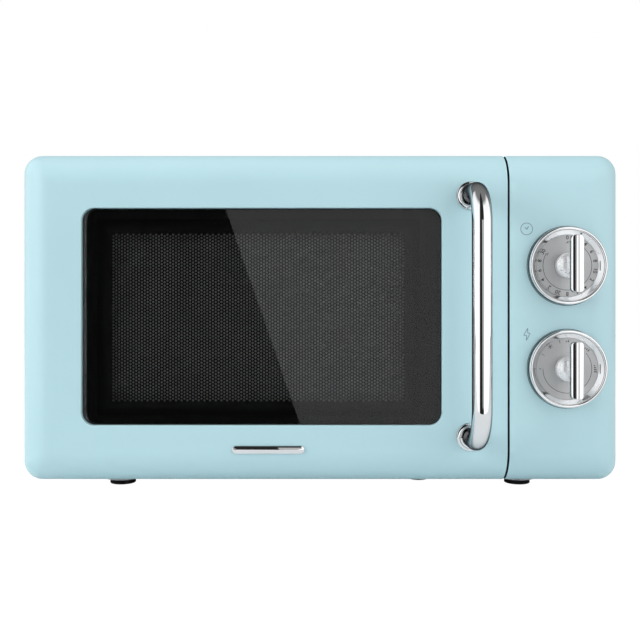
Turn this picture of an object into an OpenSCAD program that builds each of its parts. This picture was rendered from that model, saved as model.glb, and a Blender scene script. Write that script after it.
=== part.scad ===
// Countertop microwave oven: side-hinged door with a bar handle, two dials on a control panel.
// Millimetres. +Z is up and the door faces -Y. The origin is on the worktop, under the middle
// of the whole object.

/* [Overall] */
// Width across the door and the control panel
overall_w = 452; // [450:1:460]
// Height from the worktop to the top of the front
overall_h = 258.5; // [258:0.5:266]
// Depth from the handle's front to the wall spacer
overall_d = 400; // [398:1:412]
// Height of the cabinet's underside over the worktop
foot_h = 11.5; // [10.5:0.5:13]
// Corner radius of the front, seen from the front
corner_r = 14; // [10:1:16]
// Radius of the roll along the front's edges
roll_r = 26; // [24:1:28]

/* [Door] */
// Width of the door
door_w = 365.8; // [364:0.2:366]
// Depth of the door, from its flat face to its back
door_t = 30; // [29:1:32]
// Gap between the door and the control panel
seam = 1.4; // [1.2:0.1:2.4]
// Wall of the moulded front pieces
wall = 2.5; // [2:0.1:3]
// Width of the window opening
window_w = 269; // [250:1:270]
// Height of the window opening
window_h = 162; // [150:1:164]
// How far the window glass sits behind the door's face
recess = 4; // [3.5:0.5:5]

/* [Handle] */
// Distance between the handle's two feet
handle_span = 179.4; // [160:0.1:180]
// Distance of the grip's axis from the door's face
handle_reach = 42; // [36:1:48]
// Radius of the handle's bar
handle_r = 7; // [6:0.5:8]
// Radius of the handle's bends, on the bar's axis
handle_bend = 25; // [20:1:28]

/* [Dials] */
// Distance between the two dials
dial_pitch = 76.5; // [70:0.5:80]
// Outer radius of a dial's ring
dial_r = 29; // [27:0.5:30]
// How far a dial's ring stands out of the panel
dial_h = 6; // [5:0.5:8]
// Length of a knob's grip bar
grip_l = 41; // [38:1:44]
// Width of a knob's grip bar
grip_w = 9.5; // [9:0.5:12]
// How far a knob stands out of the panel
grip_h = 27; // [23:0.5:30]

/* [Cavity] */
// Inner width of the cooking cavity
cavity_w = 306; // [304:1:306]
// Inner height of the cooking cavity
cavity_h = 202; // [198:1:202]
// Inner depth of the cooking cavity
cavity_d = 294.8; // [290:0.2:296]
// Radius of the glass turntable
table_r = 122.5; // [110:0.5:124]

/* [Hidden] */
$fn = 96;
sheet = 0.8;
left_x = -overall_w / 2;
right_x = overall_w / 2;
face_y = -overall_d / 2 + handle_reach + handle_r;
door_back_y = face_y + door_t;
cab_y0 = door_back_y + 1;
spacer_d = 8;
cab_y1 = overall_d / 2 - spacer_d;
door_x1 = left_x + door_w;
panel_x0 = door_x1 + seam;
lock_x = door_x1 - 0.8;
roll_past = 2;

// The hinge line, the middle of the door's rounded back left corner
hinge_r = 9.5;
hinge_x = left_x + hinge_r;
hinge_y = door_back_y - hinge_r;
pin_r = 1.75;
arm_t = 2.2;
arm_z = [foot_h + 21.5, overall_h - 24];

// The window, its glass and the screen behind it
window_x = [left_x + 48, left_x + 48 + window_w];
window_z = [foot_h + 43.1, foot_h + 43.1 + window_h];
window_r = 9.5;
glass_t = 3.5;
glass_lap = 3.5;
frame_x = [left_x + 23, lock_x - 14];
frame_z = [foot_h + 12.5, overall_h - 12];
screen_x = [left_x + 56, left_x + 302];
screen_z = [foot_h + 48.5, foot_h + 198.5];
screen_y = face_y + 15;
frame_back_y = door_back_y - 2;

// The door's latch slides up by latch_lift against its spring
latch_x = [lock_x - 10, lock_x - 7];
latch_hook_z = [foot_h + 74.5, foot_h + 182.5];
latch_lift = 4;
hook_h = 8;
hook_end_y = cab_y0 + 16;

// The handle
handle_x = lock_x - 27;
handle_z0 = foot_h + 34.6;

// The cooking cavity
cavity_x = [left_x + 26, left_x + 26 + cavity_w];
cavity_z = [foot_h + 26.5, foot_h + 26.5 + cavity_h];
cavity_y = [cab_y0 + sheet, cab_y0 + sheet + cavity_d];
cavity_t = 0.7;
table_x = (cavity_x[0] + cavity_x[1]) / 2;
table_y = cavity_y[0] + 146.8;
roller_r = 7;
roller_ring_r = 90;
roller_w = 8;
roller_gap = 0.3;
roller_z = cavity_z[0] + roller_gap + roller_r;
table_z = roller_z + roller_r + roller_gap;
roller_angles = [90, 210, 330];
axle_r = 1.9;

// The cabinet
wrap_in = 2;
wrap_t = 0.7;
wrap_r = 12;
wrap_x = [left_x + wrap_in, right_x - wrap_in];
wrap_top = overall_h - wrap_in;
wrap_inner_x = [wrap_x[0] + wrap_t, wrap_x[1] - wrap_t];
floor_z = foot_h + sheet;
back_y = cab_y1 - 1.3;
foot_x = 161.5;
foot_y = [face_y + 60, back_y - 36];
boss_h = 7.3;

// The dials
dial_x = (panel_x0 + right_x) / 2;
dial_z = [foot_h + 85.4, foot_h + 85.4 + dial_pitch];
bracket_y = face_y + 20;
plate_h = 1.7;
shaft_r = 3;
bore_clear = 0.05;

// The parts behind the control panel
bay_x = cavity_x[1] + cavity_t;
tube_y = cavity_y[0] + 153.8;
tube_z = foot_h + 160;
port_w = 44;
port_h = 40;
fan_x = 168;
fan_z = foot_h + 153.5;
fan_y = cab_y1 - 36;
fan_r = 48;
lever_y = cab_y0 + 26;
lever_z = foot_h + 68.7;

// ---- shared shapes ----

// A block from one corner to the opposite one
module slab(a, b) translate(a) cube(b - a);

// Cylinders that start at p and run along +X, +Y or +Z
module rod_x(p, r, l) translate(p) rotate([0, 90, 0]) cylinder(h = l, r = r);
module rod_y(p, r, l) translate(p) rotate([-90, 0, 0]) cylinder(h = l, r = r);
module rod_z(p, r, l) translate(p) cylinder(h = l, r = r);

// A rectangle with rounded corners, from x[0], z[0] to x[1], z[1]
module rounded_2d(x, z, r) {
    translate([x[0] + r, z[0]]) square([x[1] - x[0] - 2 * r, z[1] - z[0]]);
    translate([x[0], z[0] + r]) square([x[1] - x[0], z[1] - z[0] - 2 * r]);
    for (cx = [x[0] + r, x[1] - r], cz = [z[0] + r, z[1] - r]) translate([cx, cz]) circle(r);
}

// An upright plate with rounded corners, between y[0] and y[1]
module plate_xz(x, z, y, r)
    translate([0, y[1], 0]) rotate([90, 0, 0]) linear_extrude(y[1] - y[0]) rounded_2d(x, z, r);

// A slot that runs through a sheet along Y, with its long side along Z
module slot_y(x, z, w, l, y)
    plate_xz([x - w / 2, x + w / 2], [z - l / 2, z + l / 2], y, w / 2 - 0.01);

// A slot that runs through a sheet along X, with its long side along Z
module slot_x(y, z, w, l, x) {
    slab([x[0], y - w / 2, z - l / 2 + w / 2], [x[1], y + w / 2, z + l / 2 - w / 2]);
    for (s = [-1, 1]) rod_x([x[0], y, z + s * (l - w) / 2], w / 2, x[1] - x[0]);
}

// A slot that runs through a sheet along Z, with its long side along Y
module slot_z(x, y, w, l, z) {
    slab([x - w / 2, y - l / 2 + w / 2, z[0]], [x + w / 2, y + l / 2 - w / 2, z[1]]);
    for (s = [-1, 1]) rod_z([x, y + s * (l - w) / 2, z[0]], w / 2, z[1] - z[0]);
}

// The section of the front: d deep, l high and past both ends, with its two front corners rolled
module rolled_2d(l, d, inset) {
    r = roll_r - inset;
    difference() {
        translate([0, -roll_past]) square([d, l + 2 * roll_past]);
        for (flip = [0, 1]) translate([0, flip * l]) mirror([0, flip])
            difference() {
                translate([-1, -roll_past - 1]) square([r + 1, r + 1]);
                translate([r, r - roll_past]) circle(r);
            }
    }
}

// The whole front, door and panel together, d deep and inset on every outer face: the two
// rolled sections reach past the outline, which trims them
module front_form(inset, d) {
    x = [left_x + inset, right_x - inset];
    z = [foot_h + inset, overall_h - inset];
    y = face_y + inset;
    intersection() {
        translate([x[0] - 1, y, z[0]]) rotate([90, 0, 90]) linear_extrude(x[1] - x[0] + 2)
            rolled_2d(z[1] - z[0], d - inset, inset);
        translate([x[1], y, z[0] - 1]) linear_extrude(z[1] - z[0] + 2) rotate(90)
            rolled_2d(x[1] - x[0], d - inset, inset);
        plate_xz(x, z, [y - 1, y + d - inset + 1], corner_r - inset);
    }
}

// What the door's back left corner loses so that it can turn on the hinge line
module hinge_corner(r) {
    h = overall_h - foot_h + 2;
    translate([hinge_x, hinge_y, foot_h - 1]) linear_extrude(h) difference() {
        translate([-hinge_r - 1, 0]) square([hinge_r + 1, hinge_r + 3]);
        circle(r);
    }
}

// ---- cabinet ----

module outer_wrapper() color([0.70, 0.84, 0.87]) difference() {
    plate_xz(wrap_x, [foot_h - 20, wrap_top], [cab_y0 + 1, cab_y1], wrap_r);
    plate_xz(wrap_inner_x, [foot_h - 21, wrap_top - wrap_t], [cab_y0, cab_y1 + 1], wrap_r - wrap_t);
    slab([left_x, cab_y0, -20], [right_x, cab_y1 + 1, foot_h]);
    for (row = [0:2], i = [0:11])
        slot_x(cab_y0 + 60 + i * 9, foot_h + 60 + row * 38, 3, 28, [wrap_x[0] - 1, wrap_x[0] + 2]);
    for (row = [0:2], i = [0:8])
        slot_x(cab_y1 - 120 + i * 9, foot_h + 50 + row * 38, 3, 28, [wrap_x[1] - 2, wrap_x[1] + 1]);
}

module base_plate() color([0.78, 0.79, 0.80]) difference() {
    union() {
        slab([wrap_inner_x[0] + 0.2, cab_y0 + sheet, foot_h],
             [wrap_inner_x[1] - 0.2, back_y - sheet, floor_z]);
        for (s = [-1, 1], y = foot_y)
            translate([s * foot_x, y, foot_h - boss_h]) cylinder(h = boss_h, r1 = 13.6, r2 = 13.2);
        translate([80, foot_y[0] - 2, foot_h - 8]) cylinder(h = 8, r1 = 7, r2 = 9);
    }
    for (i = [0:9]) slot_z(130 + i * 8, cab_y0 + 90, 3, 40, [foot_h - 1, floor_z + 1]);
    for (i = [0:9]) slot_z(130 + i * 8, cab_y0 + 190, 3, 40, [foot_h - 1, floor_z + 1]);
    for (i = [0:7]) slot_z(table_x - 28 + i * 8, table_y + 70, 3, 30, [foot_h - 1, floor_z + 1]);
}

module back_panel() color([0.78, 0.79, 0.80]) difference() {
    plate_xz([wrap_inner_x[0] + 0.2, wrap_inner_x[1] - 0.2],
             [foot_h, wrap_top - wrap_t - 0.2], [back_y - sheet, back_y], wrap_r - wrap_t - 0.2);
    for (ring = [0:3], i = [0:5 + ring * 6]) {
        a = i * 360 / (6 + ring * 6);
        r = 10 + ring * 10;
        rod_y([fan_x + r * cos(a), back_y - 2, fan_z + r * sin(a)], 3, 4);
    }
    for (row = [0:1], i = [0:13])
        slot_y(left_x + 60 + i * 8, foot_h + 140 + row * 38, 3.2, 28, [back_y - 2, back_y + 1]);
    rod_y([right_x - 32, back_y - 2, foot_h + 28], 7.5, 4);
}

// The steel front of the cabinet, with the mouth of the cavity and slots for hinges and latch
module face_plate() color([0.86, 0.87, 0.86]) difference() {
    plate_xz([wrap_inner_x[0] + 0.2, panel_x0 - 0.2], [floor_z, wrap_top - wrap_t - 0.2],
             [cab_y0, cab_y0 + sheet], wrap_r - wrap_t - 0.2);
    plate_xz(cavity_x, cavity_z, [cab_y0 - 1, cab_y0 + 2], 5);
    for (z = arm_z) slab([hinge_x - 4, cab_y0 - 1, z - 1.2], [hinge_x + 4, cab_y0 + 2, z + arm_t + 1.2]);
    for (z = latch_hook_z)
        slab([latch_x[0] - 1.5, cab_y0 - 1, z - 6],
             [latch_x[1] + 1.5, cab_y0 + 2, z + hook_h + latch_lift + 2]);
}

// The welded steel cavity, open at the front, with its waveguide port, vents and coupler hole
module cavity_box() color([0.88, 0.88, 0.86]) difference() {
    translate([0, 0, cavity_z[0] - cavity_t]) linear_extrude(cavity_h + 2 * cavity_t)
        cavity_plan(cavity_t);
    translate([0, 0, cavity_z[0]]) linear_extrude(cavity_h) difference() {
        cavity_plan(0);
        translate([cavity_x[0] - 2, cavity_y[0] - 2]) square([cavity_w + 4, 1]);
    }
    slab([cavity_x[1] - 1, tube_y - port_w / 2, tube_z - port_h / 2],
         [cavity_x[1] + 2, tube_y + port_w / 2, tube_z + port_h / 2]);
    for (i = [0:7], j = [0:4])
        rod_x([cavity_x[1] - 1, cavity_y[0] + 56 + i * 5, cavity_z[1] - 34 + j * 5], 1.4, 3);
    for (i = [0:13], j = [0:4])
        rod_x([cavity_x[0] - 2, cavity_y[1] - 110 + i * 5, cavity_z[1] - 44 + j * 5], 1.4, 3);
    rod_z([table_x, table_y, cavity_z[0] - 2], 9, 3);
}

// The cavity seen from above, with rounded back corners, grown by t
module cavity_plan(t) {
    r = 8 + t;
    y = cavity_y[1] + t;
    translate([cavity_x[0] - t, cavity_y[0]]) square([cavity_w + 2 * t, cavity_d + t - r]);
    translate([cavity_x[0] - t + r, y - r - 1]) square([cavity_w + 2 * t - 2 * r, r + 1]);
    for (x = [cavity_x[0] - t + r, cavity_x[1] + t - r]) translate([x, y - r]) circle(r);
}

module hinge_brackets() color([0.75, 0.76, 0.78]) for (z = arm_z) difference() {
    union() {
        rod_z([hinge_x, hinge_y, z], 4, arm_t);
        slab([hinge_x - 2, hinge_y, z], [hinge_x + 2, cab_y0 + sheet + 1.5, z + arm_t]);
        slab([hinge_x - 5, cab_y0 + sheet, z - 12], [hinge_x + 10, cab_y0 + sheet + 1.5, z + arm_t + 9]);
    }
    rod_z([hinge_x, hinge_y, z - 1], pin_r + bore_clear, arm_t + 2);
}

module foot_pads() color([0.09, 0.09, 0.10])
    for (s = [-1, 1], y = foot_y) translate([s * foot_x, y, 0]) {
        translate([0, 0, 2]) cylinder(h = foot_h - boss_h - 2, r = 10.3);
        cylinder(h = 2, r1 = 9, r2 = 10.3);
    }

// Pan-head screws: along the back's edges, through the base, and at the hinge brackets
module cabinet_screws() color([0.72, 0.73, 0.75]) {
    for (x = [-212, -120, 0, 120, 212]) back_screw(x, wrap_top - 10);
    for (x = [-212, 0, 212]) back_screw(x, foot_h + 8);
    for (s = [-1, 1], z = [90, 170]) back_screw(s * 216, z);
    for (s = [-1, 1], y = [cab_y0 + 12, back_y - 12])
        rod_z([s * 205, y, foot_h - 1.8], 3.4, 1.8);
}
module back_screw(x, z) {
    rod_y([x, back_y, z], 3.4, 1.2);
}

module wall_spacers() color([0.15, 0.15, 0.16]) for (s = [-1, 1])
    difference() {
        plate_xz([s * 196 - 8, s * 196 + 8], [overall_h - 62, overall_h - 38],
                 [back_y, cab_y1 + spacer_d], 5);
        rod_y([s * 196, back_y - 1, overall_h - 50], 3, 20);
    }

// The inlet bush for the mains lead
module cord_gland() color([0.10, 0.10, 0.11]) difference() {
    union() {
        rod_y([right_x - 32, back_y, foot_h + 28], 11, 3);
        rod_y([right_x - 32, back_y - 9, foot_h + 28], 7.5, 9);
    }
    rod_y([right_x - 32, back_y - 10, foot_h + 28], 3.7, 15);
}

// ---- microwave source ----

module waveguide_cover() color([0.80, 0.74, 0.60])
    slab([cavity_x[1] - 0.8, tube_y - 32, tube_z - 28], [cavity_x[1], tube_y + 32, tube_z + 28]);

module waveguide() color([0.78, 0.79, 0.80]) difference() {
    slab([bay_x, tube_y - 44, tube_z - 40], [bay_x + 28, tube_y + 44, tube_z + 40]);
    slab([bay_x - 1, tube_y - 43, tube_z - 39], [bay_x + 27, tube_y + 43, tube_z + 39]);
    rod_x([bay_x + 26, tube_y, tube_z + 12], 13, 3);
}

module magnetron_tube() color([0.74, 0.52, 0.36]) {
    rod_x([bay_x + 29.5, tube_y, tube_z + 12], 19, 54);
    rod_x([bay_x + 14, tube_y, tube_z + 12], 7, 15.5);
    rod_x([bay_x + 83.5, tube_y, tube_z + 12], 8, 8);
}

module magnetron_fins() color([0.82, 0.83, 0.84]) for (i = [0:8]) difference() {
    slab([bay_x + 34 + i * 5, tube_y - 33, tube_z - 18], [bay_x + 35 + i * 5, tube_y + 33, tube_z + 42]);
    rod_x([bay_x + 33 + i * 5, tube_y, tube_z + 12], 19, 3);
}

// The steel yoke around the fins, its mounting flange and the filter box on its end
module magnetron_yoke() color([0.68, 0.69, 0.70]) difference() {
    union() {
        slab([bay_x + 28, tube_y - 42, tube_z - 28], [bay_x + 29.5, tube_y + 42, tube_z + 52]);
        slab([bay_x + 28, tube_y - 35, tube_z - 21], [bay_x + 83.5, tube_y + 35, tube_z + 45]);
        slab([bay_x + 83.5, tube_y - 26, tube_z - 12], [bay_x + 111, tube_y + 26, tube_z + 36]);
    }
    slab([bay_x + 29.5, tube_y - 40, tube_z - 19.5], [bay_x + 82, tube_y + 40, tube_z + 43.5]);
    slab([bay_x + 85, tube_y - 24.5, tube_z - 10.5], [bay_x + 109.5, tube_y + 24.5, tube_z + 34.5]);
    rod_x([bay_x + 27, tube_y, tube_z + 12], 13, 4);
    rod_x([bay_x + 81, tube_y, tube_z + 12], 19, 5);
}

module thermal_cutout() color([0.55, 0.53, 0.50]) {
    rod_z([bay_x + 60, tube_y, tube_z + 45], 8, 6);
    rod_z([bay_x + 60, tube_y, tube_z + 51], 6, 3);
}

module transformer_core() color([0.42, 0.40, 0.38]) difference() {
    union() {
        slab([bay_x + 22, cab_y0 + 52, floor_z + 2], [bay_x + 98, cab_y0 + 112, floor_z + 66]);
        slab([bay_x + 15, cab_y0 + 46, floor_z], [bay_x + 105, cab_y0 + 118, floor_z + 2]);
    }
    for (y = [63, 86]) slab([bay_x + 34, cab_y0 + y, floor_z + 14],
                            [bay_x + 86, cab_y0 + y + 15, floor_z + 67]);
    for (y = [63, 86]) slab([bay_x + 10, cab_y0 + y, floor_z + 20],
                            [bay_x + 110, cab_y0 + y + 15, floor_z + 54]);
}

module transformer_windings() color([0.72, 0.36, 0.16])
    for (y = [63.3, 86.3]) slab([bay_x + 12, cab_y0 + y, floor_z + 20.3],
                               [bay_x + 108, cab_y0 + y + 14.4, floor_z + 53.7]);

module capacitor() color([0.80, 0.81, 0.82]) {
    translate([0, back_y - 36, 0]) rotate([90, 0, 0]) linear_extrude(92)
        rounded_2d([bay_x + 24, bay_x + 76], [floor_z + 4, floor_z + 38], 16.5);
    for (x = [38, 62]) rod_y([bay_x + x, back_y - 36, floor_z + 21], 3, 8);
}

module capacitor_strap() color([0.75, 0.76, 0.78]) difference() {
    translate([0, back_y - 70, 0]) rotate([90, 0, 0]) linear_extrude(16) union() {
        rounded_2d([bay_x + 22.5, bay_x + 77.5], [floor_z + 2.5, floor_z + 39.5], 17.5);
        translate([bay_x + 10, floor_z]) square([80, 2.5]);
    }
    translate([0, back_y - 69, 0]) rotate([90, 0, 0]) linear_extrude(18)
        rounded_2d([bay_x + 24, bay_x + 76], [floor_z + 4, floor_z + 38], 16.5);
}

module high_voltage_diode() color([0.12, 0.12, 0.13]) {
    rod_x([bay_x + 26, back_y - 26, floor_z + 8], 3.5, 22);
    rod_x([bay_x + 18, back_y - 26, floor_z + 8], 0.8, 8);
    rod_x([bay_x + 48, back_y - 26, floor_z + 8], 0.8, 12);
    slab([bay_x + 30, back_y - 29, floor_z], [bay_x + 40, back_y - 23, floor_z + 4.6]);
}

// ---- cooling ----

module fan_shroud() color([0.85, 0.85, 0.84]) difference() {
    slab([fan_x - 54, fan_y - 3, fan_z - 54], [fan_x + 54, back_y - sheet, fan_z + 54]);
    slab([fan_x - 52, fan_y - 1, fan_z - 52], [fan_x + 52, back_y, fan_z + 52]);
    rod_y([fan_x, fan_y - 4, fan_z], fan_r + 2, 6);
}

module fan_motor() color([0.50, 0.51, 0.53]) difference() {
    union() {
        slab([fan_x - 22, fan_y - 24, fan_z - 26], [fan_x + 22, fan_y - 10, fan_z + 30]);
        rod_y([fan_x, fan_y - 30, fan_z], 11, 24);
        for (s = [-1, 1]) slab([fan_x - 54, fan_y - 12, fan_z + s * 14 - 4],
                               [fan_x + 54, fan_y - 10, fan_z + s * 14 + 4]);
        for (s = [-1, 1], z = [-14, 14]) slab([fan_x + s * 53 - 1, fan_y - 12, fan_z + z - 4],
                               [fan_x + s * 53 + 1, fan_y - 3, fan_z + z + 4]);
        slab([fan_x - 14, fan_y - 26, fan_z + 10], [fan_x + 14, fan_y - 8, fan_z + 28]);
    }
    rod_y([fan_x, fan_y - 16, fan_z], 2.05, 14);
}

module fan_blade() color([0.88, 0.88, 0.88]) {
    rod_y([fan_x, fan_y + 3, fan_z], 12, 14);
    rod_y([fan_x, fan_y - 15, fan_z], 2, 19);
    for (a = [0:72:359]) translate([fan_x, fan_y + 10, fan_z]) rotate([0, a, 0])
        translate([9, 0, 0]) rotate([35, 0, 0]) translate([0, -0.75, -10]) cube([36, 1.5, 20]);
}

// ---- lamp, thermostat and filter ----

module lamp_holder() color([0.90, 0.89, 0.85]) difference() {
    slab([bay_x, cavity_y[0] + 52, cavity_z[1] - 38], [bay_x + 22, cavity_y[0] + 100, cavity_z[1] - 8]);
    slab([bay_x - 1, cavity_y[0] + 54, cavity_z[1] - 36], [bay_x + 20, cavity_y[0] + 98, cavity_z[1] - 10]);
    rod_x([bay_x + 19, cavity_y[0] + 74, cavity_z[1] - 23], 7, 4);
}

// The bulb and its cap, from its rounded tip to the contact behind the holder
module cavity_lamp() color([0.95, 0.93, 0.85])
    translate([bay_x + 3, cavity_y[0] + 74, cavity_z[1] - 23]) rotate([0, 90, 0])
        rotate_extrude() polygon([
            [0, 0], [4.5, 0.8], [7.6, 3.4], [8.6, 7], [8.2, 10.5], [6.6, 14], [6.6, 29], [0, 29]
        ]);

module filter_board() color([0.25, 0.42, 0.28]) {
    slab([bay_x + 18, back_y - 62, foot_h + 70], [bay_x + 104, back_y - sheet, foot_h + 71.6]);
    slab([bay_x + 18, back_y - sheet - 1.6, foot_h + 58], [bay_x + 104, back_y - sheet, foot_h + 70]);
    rod_z([bay_x + 36, back_y - 36, foot_h + 71.6], 9, 12);
    slab([bay_x + 52, back_y - 50, foot_h + 71.6], [bay_x + 70, back_y - 24, foot_h + 84]);
    rod_x([bay_x + 76, back_y - 20, foot_h + 74.2], 3, 24);
}

// ---- turntable ----

module turntable_motor() color([0.72, 0.73, 0.74]) difference() {
    union() {
        rod_z([table_x, table_y, cavity_z[0] - 17], 25, 14);
        slab([table_x - 33, table_y - 5, cavity_z[0] - 4], [table_x + 33, table_y + 5, cavity_z[0] - 3]);
        for (s = [-1, 1]) rod_z([table_x + s * 30, table_y, cavity_z[0] - 3], 4, 3 - cavity_t);
    }
    rod_z([table_x, table_y, cavity_z[0] - 7], 3.05, 6);
}

// The driven hub with three lobes that the glass plate drops onto, and its shaft
module turntable_coupler() color([0.86, 0.86, 0.84]) {
    rod_z([table_x, table_y, cavity_z[0] - 6.7], 3, 7);
    rod_z([table_x, table_y, cavity_z[0] - 2], 7.5, 15.8);
    for (a = [0:120:359]) translate([table_x, table_y, cavity_z[0] + 3]) rotate(a)
        slab([0, -3.5, 0], [18, 3.5, 10.8]);
}

module turntable_glass() color([0.80, 0.88, 0.88, 0.4]) translate([table_x, table_y, table_z]) {
    rotate_extrude() polygon([
        [0, 0], [table_r - 19, 0], [table_r - 3, 10], [table_r, 10.8],
        [table_r, 14], [table_r - 3, 14], [table_r - 20, 4.5], [0, 4.5]
    ]);
    for (a = [60:120:359]) rotate(a) slab([9, -3, -4.4], [17, 3, 1]);
}

module roller_ring() color([0.82, 0.82, 0.80]) {
    translate([table_x, table_y, roller_z - 3.5]) difference() {
        cylinder(h = 7, r = roller_ring_r - roller_w / 2 - 1.5);
        translate([0, 0, -1]) cylinder(h = 9, r = roller_ring_r - roller_w / 2 - 8.5);
    }
    for (a = roller_angles) translate([table_x, table_y, roller_z]) rotate(a) {
        rod_x([roller_ring_r - roller_w / 2 - 4, 0, 0], axle_r, roller_w + 5.5);
        rod_x([roller_ring_r + roller_w / 2 + 0.3, 0, 0], 3.4, 1.6);
    }
}

module roller(angle) color([0.90, 0.90, 0.88])
    translate([table_x, table_y, roller_z]) rotate(angle) difference() {
        rod_x([roller_ring_r - roller_w / 2, 0, 0], roller_r, roller_w);
        rod_x([roller_ring_r - roller_w / 2 - 1, 0, 0], axle_r + bore_clear, roller_w + 2);
    }

// ---- control panel ----

module control_panel() color([0.70, 0.84, 0.87]) {
    depth = cab_y0 + 0.5 - face_y;
    difference() {
        intersection() {
            front_form(0, depth);
            slab([panel_x0, face_y - 1, 0], [right_x + 1, cab_y0 + 2, overall_h + 1]);
        }
        intersection() {
            front_form(wall, depth + 2);
            slab([panel_x0 + wall, face_y - 1, 0], [right_x, cab_y0 + 9, overall_h]);
        }
        for (z = dial_z) rod_y([dial_x, face_y - 1, z], 5, wall + 2);
    }
    for (x = [panel_x0 + 9, right_x - 17], z = [foot_h + 28, overall_h - 28])
        rod_y([x, face_y + wall - 0.2, z], 3.5, bracket_y - face_y - wall + 0.2);
}

// The steel plate behind the panel that carries the timer and the power switch
module control_bracket() color([0.75, 0.76, 0.78]) difference() {
    union() {
        slab([panel_x0 + 4, bracket_y, floor_z + 4], [right_x - 4.5, bracket_y + sheet, overall_h - 10]);
        slab([panel_x0 + 4, bracket_y, floor_z + 4], [panel_x0 + 5.2, cab_y0 + 12, overall_h - 10]);
    }
    for (z = dial_z) rod_y([dial_x, bracket_y - 1, z], 4, 4);
}

// The clockwork: two plates, four posts, the gear case and the bell behind it
module timer_unit() color([0.62, 0.60, 0.52]) {
    y = bracket_y + sheet;
    z = dial_z[1];
    difference() {
        union() {
            slab([dial_x - 23, y, z - 23], [dial_x + 23, y + 1.5, z + 23]);
            slab([dial_x - 23, y + 24, z - 23], [dial_x + 23, y + 25.5, z + 23]);
            for (sx = [-1, 1], sz = [-1, 1])
                rod_y([dial_x + sx * 19, y, z + sz * 19], 2.5, 25);
            slab([dial_x - 16, y + 1, z - 16], [dial_x + 16, y + 24.5, z + 16]);
            rod_y([dial_x, y + 25, z], 3, 5);
            rod_y([dial_x, y + 29, z], 19, 1.5);
        }
        rod_y([dial_x, y - 1, z], shaft_r + bore_clear, 16);
    }
    difference() {
        rod_y([dial_x, y + 30, z], 19, 8);
        rod_y([dial_x, y + 30.4, z], 18, 8);
    }
}

module power_switch_unit() color([0.88, 0.87, 0.82]) difference() {
    y = bracket_y + sheet;
    z = dial_z[0];
    union() {
        slab([dial_x - 22, y, z - 20], [dial_x + 22, y + 18, z + 20]);
        rod_y([dial_x, y + 17, z], 12, 6);
        slab([dial_x - 14, y + 4, z - 30], [dial_x + 14, y + 14, z - 19]);
        for (x = [-8, 0, 8]) slab([dial_x + x - 0.4, y + 7, z - 36], [dial_x + x + 0.4, y + 11, z - 29]);
    }
    rod_y([dial_x, y - 1, z], shaft_r + bore_clear, 16);
}

// The chrome ring of a dial, with a conical inner wall
module dial_ring(z) color([0.88, 0.89, 0.90]) translate([dial_x, face_y, z]) rotate([90, 0, 0])
    rotate_extrude() polygon([
        [dial_r - 4, 0], [dial_r, 0], [dial_r, dial_h - 1.2], [dial_r - 0.5, dial_h - 0.3],
        [dial_r - 1.3, dial_h], [dial_r - 2.1, dial_h - 0.3], [dial_r - 2.6, dial_h - 1.2],
        [dial_r - 4, plate_h]
    ]);

module dial_plate(z) color([0.68, 0.69, 0.69]) difference() {
    rod_y([dial_x, face_y - plate_h, z], dial_r - 4, plate_h);
    rod_y([dial_x, face_y - plate_h - 1, z], shaft_r + 0.8, plate_h + 2);
}

// A knob: a low dome round the shaft, a stem on it, and a thin bar across the stem
module knob(z) color([0.88, 0.89, 0.90]) {
    bar_y = face_y - grip_h;
    translate([dial_x, 0, z]) difference() {
        union() {
            intersection() {
                translate([0, face_y + 0.4, 0]) sphere(r = 11.8);
                rod_y([0, face_y - 12, 0], 9.4, 12 - plate_h - 0.4);
            }
            intersection() {
                rod_z([0, bar_y + 8, -grip_l], 8, 2 * grip_l);
                plate_xz([-grip_w / 2, grip_w / 2], [-grip_l / 2, grip_l / 2], [bar_y - 1, bar_y + 5], 3);
            }
            slab([-3, bar_y + 4, -7], [3, face_y - 8, 7]);
        }
        rod_y([0, face_y - 9.5, 0], shaft_r, 10.5);
    }
}

module knob_shaft(z) color([0.74, 0.75, 0.77])
    rod_y([dial_x, face_y - 9.5, z], shaft_r, bracket_y + sheet + 14 - face_y + 9.5);

// ---- door lock on the cabinet ----

// A block behind the face plate: each hook passes through it and drops behind a catch
module interlock_body() color([0.88, 0.87, 0.84]) difference() {
    x = [latch_x[0] - 1.5, latch_x[1] + 1.5];
    slab([lock_x - 17, cab_y0 + sheet, foot_h + 66], [lock_x - 2, cab_y0 + 20, foot_h + 204]);
    for (z = latch_hook_z) {
        slab([x[0], cab_y0, z - 0.6], [x[1], cab_y0 + 21, z + hook_h + latch_lift + 2]);
        slab([x[0], hook_end_y - 5, z - 6], [x[1], cab_y0 + 21, z + 4]);
    }
    slab([x[0], hook_end_y - 5, foot_h + 65], [x[1], cab_y0 + 21, latch_hook_z[0] + 4]);
    slab([lock_x - 18, cab_y0 + 6, foot_h + 100], [lock_x - 1, cab_y0 + 21, foot_h + 172]);
}

// A lever held down by the lower hook, with a finger that keeps the lowest switch pressed
module interlock_lever() color([0.80, 0.25, 0.18]) difference() {
    union() {
        rod_x([latch_x[0] - 1, lever_y, lever_z], 4, 5);
        slab([latch_x[0], lever_y - 12.5, lever_z - 1.5], [latch_x[1], lever_y, lever_z + 1.5]);
        slab([latch_x[0], lever_y - 1.5, lever_z - 16], [latch_x[1], lever_y + 1.5, lever_z]);
    }
    rod_x([latch_x[0] - 2, lever_y, lever_z], 1.55, 8);
}

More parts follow.
